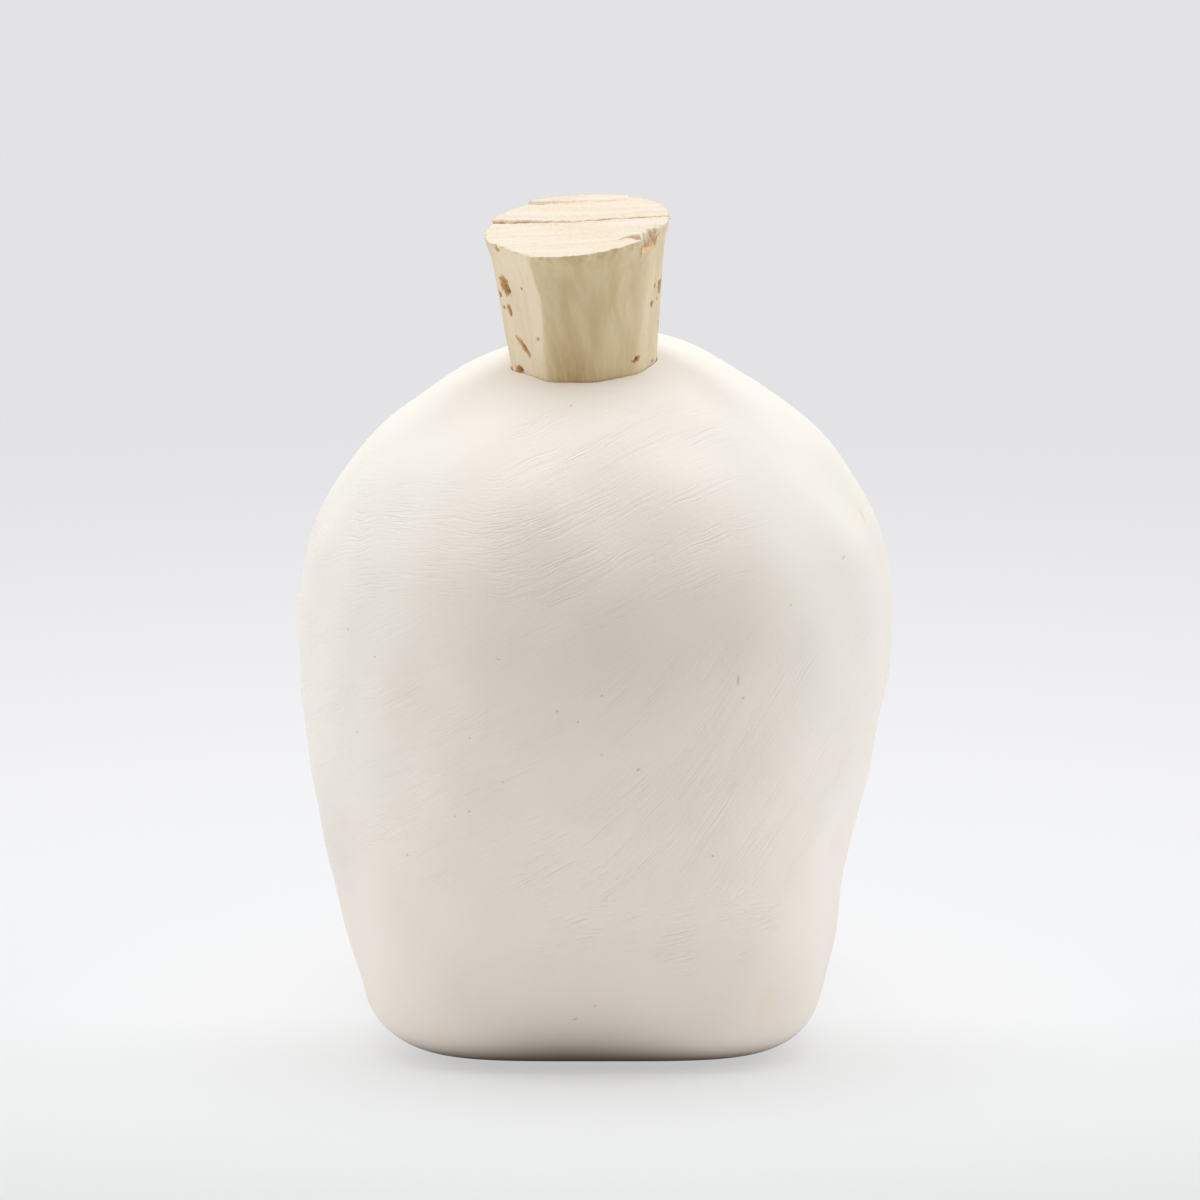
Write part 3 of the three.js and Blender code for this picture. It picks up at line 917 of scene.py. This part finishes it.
def top_marks(x, y):
    """How brown the cork's top is in its cracks, its split and its chip, from 0 to 1, with painted shade in
    the open stretches of the cracks.
    """
    marks = CHIP_BROWN * np.maximum(chip_depth(x, y) / CHIP["depth"], split_share(x, y))
    for crack in TOP_CRACKS:
        shaded = sum(between(x, low, high, SHADED_SOFTNESS) for low, high in crack["shaded"])
        gap = behind_path(x, y, crack["path"]) + crack["width"] / 2
        line = np.exp(-(gap / crack["width"]) ** 2) * between(x, *crack["span"], SPAN_SOFTNESS)
        marks = np.maximum(marks, line * (CRACK_BROWN + CRACK_GAP_SHADE * shaded))
    return marks


def all_pores():
    random = np.random.default_rng(PORE_SEED)
    hidden = []
    for _ in range(HIDDEN_PORES):
        drawn = {name: random.uniform(*limits) for name, limits in HIDDEN_LIMITS.items()}
        deep = HIDDEN_DEPTH[0] + HIDDEN_DEPTH[1] * drawn["length"]
        hidden.append((*(drawn[name] for name in ("bearing", "height", "width", "length", "tilt")), deep))
    return PORES + tuple(hidden)


def pore_depth(angle, height, radius):
    """Depth of the pores, and how far into a pore each point lies, from 0 to 1."""
    depth = np.zeros(np.shape(height))
    inside = np.zeros(np.shape(height))
    ragged = wave_noise(polar(radius, angle, height), **PORE_EDGES)
    for bearing, level, width, length, tilt, deep in all_pores():
        around = np.radians(turn_between(np.degrees(angle), bearing)) * radius
        c, s = math.cos(math.radians(tilt)), math.sin(math.radians(tilt))
        across = (around * c + (height - level) * s) / (width / 2)
        along = (-around * s + (height - level) * c) / (length / 2)
        share = np.clip(PORE_STEEPNESS * (1 + ragged - np.hypot(across, along)), 0, 1)
        depth = np.maximum(depth, deep * smooth_step(0, 1, share))
        inside = np.maximum(inside, share * min(1, PORE_DARKNESS + deep))
    return depth, inside


def cork_base(angle):
    ring = side_radius(angle, CORK_FOOT) - CORK_EDGE
    return polar(np.linspace(0, 1, CORK_FOOT_ROWS)[:, None] * ring, angle, CORK_FOOT)


def cork_side(angle):
    """Rows up the side to the broken rim, and the pores in them."""
    rim = CORK_EXPOSED
    for _ in range(RIM_ROUNDS):
        radius = side_radius(angle, rim)
        rim = top_height(radius * np.cos(angle), radius * np.sin(angle))
    start = CORK_FOOT + CORK_EDGE
    height = start + np.linspace(0, 1, CORK_SIDE_ROWS)[:, None] * (rim - start)
    radius = side_radius(angle, height)
    smooth = polar(radius, angle, height)
    depth, pores = pore_depth(angle, height, radius)
    grain = wave_noise(smooth * SIDE_GRAIN_STRETCH, **SIDE_GRAIN)
    ragged = wave_noise(smooth, **RIM_RAGGED) * smooth_step(-RIM_REACH, 0, height - rim)
    return polar(radius - depth + grain + ragged, angle, height), pores


def cork_top(rim):
    """Rows over the top from the rim to the middle, and the brown marks on them."""
    inward = np.linspace(1, 0, CORK_TOP_ROWS)[1:, None]
    x = inward * rim[:, 0]
    y = inward * rim[:, 1]
    rows = np.stack([x, y, top_height(x, y)], axis=-1)
    rows[..., 2] += wave_noise(rows * [1, 1, 0], **TOP_GRAIN)
    return rows, top_marks(x, y)


def cork_stopper():
    angle = np.arange(CORK_COLUMNS)[None, :] * 2 * math.pi / CORK_COLUMNS
    side, pores = cork_side(angle)
    top, marks = cork_top(side[-1])
    sheets = (cork_base(angle), side, top)
    height = side[..., 2]
    looks = {
        "pore": (0, pores, marks),
        "pale": (0, paleness(angle, height), 0),
        "low_darkening": (0, low_darkening_share(angle, height), 0),
        "end": (1, 0, 1),
    }
    layers = {}
    for name, shares in looks.items():
        layers[name] = np.concatenate([share + 0 * sheet[..., 0] for share, sheet in zip(shares, sheets)])
    return pole_sheet("trimmed_cork", from_mouth(np.concatenate(sheets)), layers)


# Materials
class Shader:
    """A material's node tree, with nodes added by kind, settings and inputs."""

    def __init__(self, name):
        self.material = bpy.data.materials.new(name)
        self.material.use_nodes = True
        self.tree = self.material.node_tree
        self.surface = self.tree.nodes["Principled BSDF"]
        self.place = self.add("ShaderNodeTexCoord").outputs["Object"]

    def add(self, kind, inputs=None, **settings):
        node = self.tree.nodes.new(kind)
        for name, value in settings.items():
            setattr(node, name, value)
        for name, value in (inputs or {}).items():
            self.feed(node.inputs[name], value)
        return node

    def feed(self, socket, value):
        if isinstance(value, bpy.types.NodeSocket):
            self.tree.links.new(value, socket)
        else:
            socket.default_value = value

    def maths(self, operation, first, second=0.0):
        return self.add("ShaderNodeMath", {0: first, 1: second}, operation=operation).outputs[0]

    def attribute(self, name):
        return self.add("ShaderNodeAttribute", attribute_name=name).outputs["Fac"]

    def local(self, middle, turn, size):
        """The place in the axes of something turned, whose sizes along them become 1."""
        shift = tuple(part * MM for part in middle)
        angles = tuple(math.radians(part) for part in turn)
        scale = tuple(part * MM for part in size)
        feed = {"Vector": self.place, "Location": shift, "Rotation": angles, "Scale": scale}
        return self.add("ShaderNodeMapping", feed, vector_type="TEXTURE").outputs[0]

    def noise(self, size, turn=(0, 0, 0), **inputs):
        """Noise whose grains measure size along three turned axes, in millimetres."""
        values = {"Scale": 1.0, "Vector": self.local((0, 0, 0), turn, size), **inputs}
        return self.add("ShaderNodeTexNoise", values).outputs["Fac"]

    def vector(self, operation, first, second):
        return self.add("ShaderNodeVectorMath", {0: first, 1: second}, operation=operation).outputs[0]

    def ranged(self, value, low, high, to_low=0.0, to_high=1.0):
        values = {"Value": value, "From Min": low, "From Max": high, "To Min": to_low, "To Max": to_high}
        return self.add("ShaderNodeMapRange", values, interpolation_type="SMOOTHSTEP").outputs["Result"]

    def near(self, middle, turn, reach):
        """1 close to a point and 0 where its reach along the turned axes ends."""
        feed = {"Vector": self.local(middle, turn, reach)}
        return self.add("ShaderNodeTexGradient", feed, gradient_type="SPHERICAL").outputs["Fac"]

    def mix(self, share, first, second):
        node = self.add("ShaderNodeMix", data_type="RGBA")
        for name, value in (("Factor_Float", share), ("A_Color", first), ("B_Color", second)):
            self.feed(next(s for s in node.inputs if s.identifier == name), value)
        return next(s for s in node.outputs if s.identifier == "Result_Color")

    def bump(self, height, depth):
        values = {"Height": height, "Strength": 1.0, "Distance": depth * MM}
        return self.add("ShaderNodeBump", values).outputs["Normal"]

    def finish(self, colour, roughness, gloss):
        self.feed(self.surface.inputs["Base Color"], colour)
        self.surface.inputs["Roughness"].default_value = roughness
        self.surface.inputs["Specular IOR Level"].default_value = gloss


def stroke_height(shader):
    """Height of the brush strokes: crests in each field that run along the strokes."""
    total = 0.0
    for field in STROKE_FIELDS:
        along = 1 / (field["length"] * MM)
        flat = shader.vector("MULTIPLY", shader.place, (along, along, 0))
        level = shader.attribute(field["name"] + "_across")
        across = shader.add("ShaderNodeCombineXYZ", {"Z": level}).outputs[0]
        values = {"Vector": shader.vector("ADD", flat, across), "Scale": 1.0, "Detail": 2.0}
        waves = shader.add("ShaderNodeTexNoise", values).outputs["Fac"]
        crests = shader.maths("ABSOLUTE", shader.maths("SUBTRACT", waves, 0.5))
        share = shader.attribute(field["name"] + "_share")
        total = shader.maths("SUBTRACT", total, shader.maths("MULTIPLY", crests, share))
    return total


def back_mark(shader, x, level, length, width, angle):
    return shader.near((x, SKIN.back(x, level), level), (0, -angle, 0), (length, MARK_REACH, width))


def clay():
    shader = Shader("bare_white_clay")
    # Painted shade and light of the patches
    tone = shader.mix(shader.attribute("pale"), CLAY_MOST_SHADED, CLAY_MOST_LIT)
    split = shader.add("ShaderNodeSeparateXYZ", {"Vector": shader.place}).outputs
    # Painted tint of the light, greener towards the sides and higher up, rosier in the middle, with a random
    # blush
    aside = shader.ranged(shader.maths("ABSOLUTE", split["X"]), *PAINTED_TINT_ACROSS)
    aside = shader.maths("MULTIPLY", aside, shader.ranged(split["Z"], *PAINTED_TINT_RISE))
    blush = shader.ranged(shader.noise(**CLAY_BLUSH), *TEXTURE_RANGE, *BLUSH_SHARES)
    tint = shader.mix(shader.maths("ADD", aside, blush), CLAY_ROSY, CLAY_GREENISH)
    tone = shader.vector("MULTIPLY", tone, tint)

    # Painted shade of the pinholes and scratches, which have no hollow in the mesh or bump
    elsewhere = shader.ranged(split["Y"], *PIT_START)
    pattern = {"Vector": shader.place, "Scale": 1 / (PIT_PITCH * MM)}
    cells = shader.add("ShaderNodeTexVoronoi", pattern).outputs
    rare = shader.maths("MULTIPLY", shader.ranged(cells["Color"], *PIT_RARENESS), elsewhere)
    pit_shade = shader.maths("MULTIPLY", shader.ranged(cells["Distance"], *PIT_SIZE, 1, 0), rare)
    for mark in MARKS:
        pit_shade = shader.maths("MAXIMUM", pit_shade, shader.ranged(back_mark(shader, *mark), *MARK_EDGE))
    tone = shader.mix(shader.maths("MULTIPLY", pit_shade, MARK_SHADE_SHARE), tone, PINHOLE_SHADE_COLOUR)
    for *spot, strength in SPOTS:
        share = shader.ranged(back_mark(shader, *spot), *MARK_EDGE, 0, strength)
        tone = shader.mix(share, tone, SPOT_COLOUR)
    # Painted shade round the foot and in the teeth lines
    tone = shader.mix(shader.attribute("painted_shade"), tone, PAINTED_SHADE_COLOUR)

    grain = shader.maths("MULTIPLY", shader.noise(**CLAY_GRAIN), GRAIN_DEPTH)
    strokes = shader.maths("MULTIPLY", stroke_height(shader), STROKE_DEPTH)
    shader.feed(shader.surface.inputs["Normal"], shader.bump(shader.maths("ADD", strokes, grain), 1))
    shader.finish(tone, *CLAY_FINISH)
    return shader.material


def cork():
    shader = Shader("natural_cork")
    weathered = shader.mix(shader.ranged(shader.noise(**CORK_BANDS), *TEXTURE_RANGE), *CORK_WEATHERED)
    tone = shader.mix(shader.attribute("pale"), weathered, CORK_TRIMMED)
    streaks = shader.ranged(shader.noise(**CORK_STREAKS), *STREAK_RANGE, *STREAK_SHARES)
    # Darker low down at the back near the mouth, in streaks
    low_darkening = shader.maths("MULTIPLY", shader.attribute("low_darkening"), streaks)
    tone = shader.mix(low_darkening, tone, CORK_LOW_DARK_COLOUR)
    end = shader.mix(shader.ranged(shader.noise(**CORK_LAYERS), *TEXTURE_RANGE), *CORK_END)
    tone = shader.mix(shader.attribute("end"), tone, end)
    cells = shader.noise(**CORK_CELLS)
    tone = shader.mix(shader.ranged(cells, *CELL_RANGE, *CELL_SHARES), tone, CORK_CELL_COLOUR)
    pore = shader.attribute("pore")
    tone = shader.mix(shader.ranged(pore, *PORE_RIM_RANGE), tone, PORE_RIM_COLOUR)
    tone = shader.mix(shader.ranged(pore, *PORE_RANGE), tone, PORE_COLOUR)
    shader.feed(shader.surface.inputs["Normal"], shader.bump(cells, CORK_CELL_DEPTH))
    shader.finish(tone, *CORK_FINISH)
    return shader.material


def place_piece(piece, material, body, node):
    piece.data.materials.append(material)
    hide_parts(node)
    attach(piece, body)


# Camera, floor and lights
def set_camera():
    camera = bpy.data.cameras.new("camera")
    camera.sensor_fit = "HORIZONTAL"
    camera.sensor_width = SENSOR_WIDTH
    camera.lens = SENSOR_WIDTH * CAMERA_DISTANCE / FRAME_WIDTH
    camera.clip_start = NEAREST_SEEN * MM
    holder = bpy.data.objects.new("camera", camera)
    tilt = math.radians(CAMERA_ELEVATION)
    x, y, z = CAMERA_TARGET
    away = CAMERA_DISTANCE
    holder.location = (x * MM, (y - away * math.cos(tilt)) * MM, (z + away * math.sin(tilt)) * MM)
    holder.rotation_euler = (math.pi / 2 - tilt, 0, 0)
    bpy.context.scene.collection.objects.link(holder)
    bpy.context.scene.camera = holder


def shown_rays(tree):
    """1 for the rays that show the surroundings to the camera, also in gloss or through glass."""
    path = tree.nodes.new("ShaderNodeLightPath")
    shown = path.outputs["Is Camera Ray"]
    for kind in ("Is Glossy Ray", "Is Transmission Ray"):
        either = tree.nodes.new("ShaderNodeMath")
        either.operation = "MAXIMUM"
        tree.links.new(shown, either.inputs[0])
        tree.links.new(path.outputs[kind], either.inputs[1])
        shown = either.outputs[0]
    return shown


def set_floor():
    corners = [(x * FLOOR_REACH, y * FLOOR_REACH, 0) for x, y in ((-1, -1), (1, -1), (1, 1), (-1, 1))]
    mesh = bpy.data.meshes.new("floor")
    mesh.from_pydata(corners, [], [(0, 1, 2, 3)])
    floor = bpy.data.objects.new("floor", mesh)
    bpy.context.scene.collection.objects.link(floor)
    shader = Shader("pale_floor")
    shown = shown_rays(shader.tree)
    # The camera sees the lit floor darker and warmer than the floor that gives light back: a painted warm
    # tint of its shadow
    shader.finish(shader.mix(shown, FLOOR_COLOUR, FLOOR_LIT_COLOUR), *FLOOR_FINISH)
    split = shader.add("ShaderNodeSeparateXYZ", {"Vector": shader.place}).outputs
    # Painted shade in front of the object, darker towards the camera, and painted light beside and behind it
    near = shader.mix(shader.ranged(split["Y"], *FLOOR_NEAR), FLOOR_FRONT_SHADE_COLOUR, FLOOR_BACK_COLOUR)
    away = shader.add("ShaderNodeVectorMath", {0: shader.place}, operation="LENGTH").outputs["Value"]
    beside = shader.mix(shader.ranged(away, *FLOOR_CLEAR), FLOOR_BESIDE_LIGHT_COLOUR, FLOOR_FAR_COLOUR)
    near = shader.mix(shader.ranged(split["Y"], *FLOOR_BEHIND), near, beside)
    near_glow = shader.ranged(split["Y"], *FLOOR_BEHIND, *FLOOR_GLOW)
    far = shader.mix(shader.ranged(away, *FLOOR_DEEPEN), FLOOR_FAR_COLOUR, BACKGROUND_COLOUR)
    tone = shader.mix(shader.ranged(away, *FLOOR_FADE), near, far)
    glow = shader.add("ShaderNodeEmission", {"Color": tone}).outputs[0]
    share = shader.maths("MULTIPLY", shown, shader.ranged(away, *FLOOR_FADE, near_glow, 1))
    surface = shader.add("ShaderNodeMixShader", {0: share, 1: shader.surface.outputs[0], 2: glow}).outputs[0]
    shader.feed(shader.tree.nodes["Material Output"].inputs["Surface"], surface)
    mesh.materials.append(shader.material)


def area_lamp(name, place, size, power):
    lamp = bpy.data.lights.new(name, "AREA")
    lamp.shape = "RECTANGLE"
    lamp.size, lamp.size_y = size
    lamp.energy = power
    lamp.color = SOFTBOX_TINT
    holder = bpy.data.objects.new(name, lamp)
    holder.location = place
    holder.visible_camera = False
    aim = np.array(place) - np.array(SOFTBOX_TARGET)
    flat = math.hypot(aim[0], aim[1])
    holder.rotation_euler = (math.atan2(flat, aim[2]), 0, math.atan2(aim[0], -aim[1]))
    bpy.context.scene.collection.objects.link(holder)


def set_world():
    world = bpy.data.worlds.new("soft_room")
    world.use_nodes = True
    nodes = world.node_tree.nodes
    links = world.node_tree.links
    light = nodes["Background"]
    light.inputs["Color"].default_value = ROOM_TINT
    light.inputs["Strength"].default_value = ROOM_LIGHT
    shown = nodes.new("ShaderNodeBackground")
    shown.inputs["Color"].default_value = BACKGROUND_COLOUR
    either = nodes.new("ShaderNodeMixShader")
    links.new(shown_rays(world.node_tree), either.inputs[0])
    links.new(light.outputs[0], either.inputs[1])
    links.new(shown.outputs[0], either.inputs[2])
    links.new(either.outputs[0], nodes["World Output"].inputs["Surface"])
    bpy.context.scene.world = world


set_camera()
set_floor()
set_world()
for softbox in SOFTBOXES:
    area_lamp(**softbox)
bpy.context.scene.view_settings.view_transform = "Standard"
place_piece(skull_shell(), clay(), "bottle", "skull_shell")
place_piece(cork_stopper(), cork(), "stopper", "cork_stopper")
